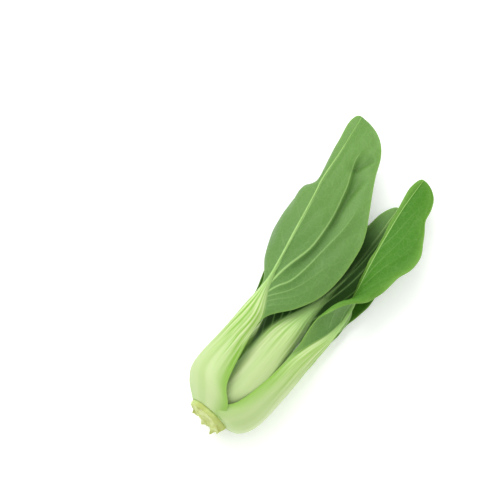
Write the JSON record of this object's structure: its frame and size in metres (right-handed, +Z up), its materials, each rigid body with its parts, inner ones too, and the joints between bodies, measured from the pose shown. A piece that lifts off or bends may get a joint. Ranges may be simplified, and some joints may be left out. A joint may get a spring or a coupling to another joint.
{
  "type": "bok choy head",
  "caption": "A head of bok choy lying on its side: thick pale green stalks clasp a short cut stem and end in smooth rounded green blades.",
  "frame": {"origin": "on the surface it lies on, under the middle of its bounding box", "axes": "+Y along the head from the cut stem to the leaf tips, +Z up from the surface, +X to the right seen from the cut end"},
  "size_m": [0.0909, 0.2146, 0.0483],
  "materials": {
    "stem": "moist cut plant flesh",
    "stalk": "smooth waxy leaf stalk, faintly ribbed",
    "blade": "smooth leaf with a soft sheen and raised pale veins"
  },
  "bodies": {
    "root": {"stem": "stem", "front_stalk": "stalk", "front_blade": "blade", "right_stalk": "stalk", "right_blade": "blade", "lower_left_stalk": "stalk", "lower_left_blade": "blade", "middle_stalk": "stalk", "middle_blade": "blade", "lower_right_stalk": "stalk", "lower_right_blade": "blade", "back_left_stalk": "stalk", "back_left_blade": "blade", "upper_right_stalk": "stalk", "upper_right_blade": "blade", "underneath_stalk": "stalk", "underneath_blade": "blade", "heart_large_stalk": "stalk", "heart_large_blade": "blade", "heart_small_stalk": "stalk", "heart_small_blade": "blade"}
  },
  "joints": []
}
